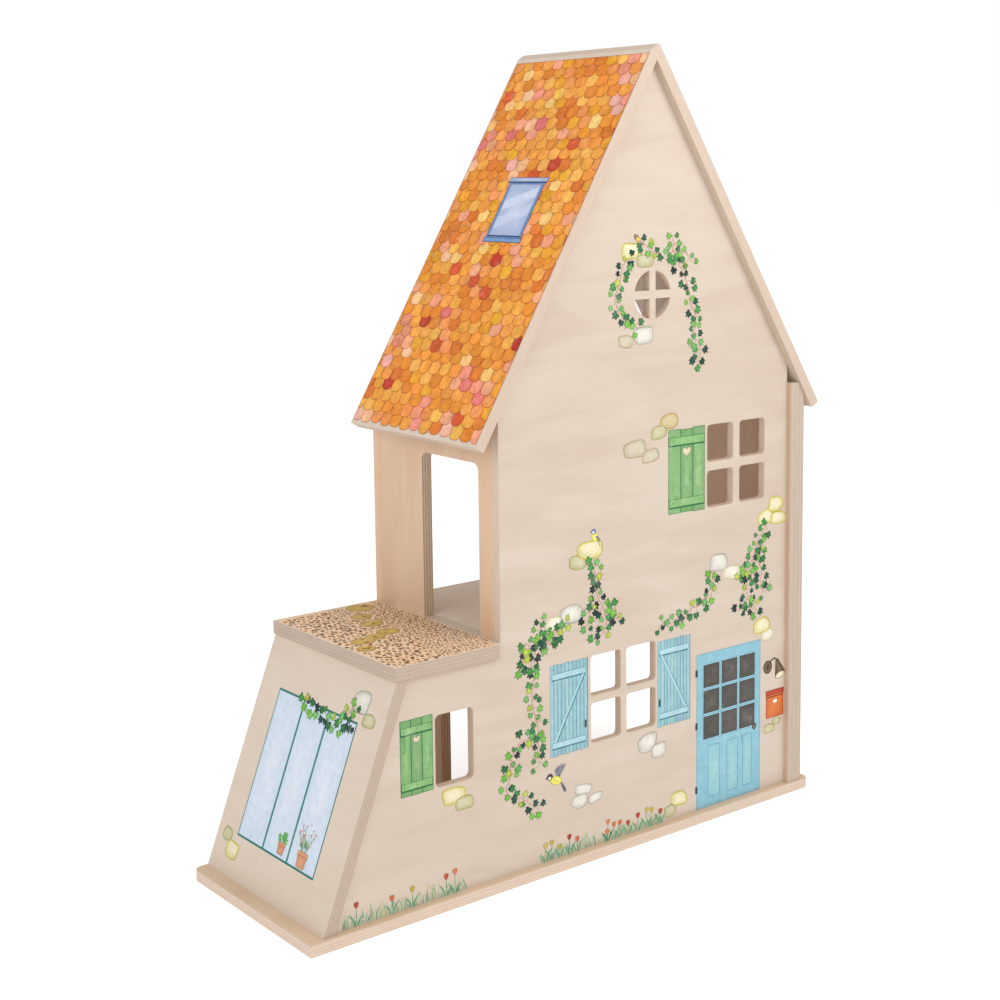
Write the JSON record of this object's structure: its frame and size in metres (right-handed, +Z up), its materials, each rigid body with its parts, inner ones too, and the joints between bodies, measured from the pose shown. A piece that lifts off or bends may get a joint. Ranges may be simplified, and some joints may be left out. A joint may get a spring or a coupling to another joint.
{
  "type": "wooden dollhouse",
  "caption": "Plywood dollhouse with a steep gabled roof, a leaning sunroom annex under a flat terrace, cut-out windows and an open back.",
  "frame": {"origin": "middle of the bounding box's underside, on the surface that the house stands on", "axes": "+Z up; -Y is the front of the house; -X is the side with the annex"},
  "size_m": [0.576, 0.1986, 0.7189],
  "materials": {
    "plywood": "fine-sanded pale birch plywood with a clear matt varnish",
    "dowel_wood": "plain beech dowel",
    "screw_steel": "zinc-plated",
    "roof_print": "watercolour print of roof tiles, matt",
    "facade_print": "watercolour print of shutters, plants and stones, matt",
    "terrace_print": "watercolour print of gravel and stepping stones, matt"
  },
  "bodies": {
    "root": {"base_board": "plywood", "facade_panel": "plywood", "left_side_wall": "plywood", "right_side_wall": "plywood", "sunroom_panel": "plywood", "terrace_board": "plywood", "left_roof_board": "plywood", "right_roof_board": "plywood", "first_floor_board": "plywood", "attic_floor_board": "plywood", "terrace_dowels": "dowel_wood", "floor_dowels": "dowel_wood", "facade_dowels": "dowel_wood", "roof_dowels": "dowel_wood", "sunroom_dowels": "dowel_wood", "base_screws": "screw_steel"}
  },
  "joints": []
}
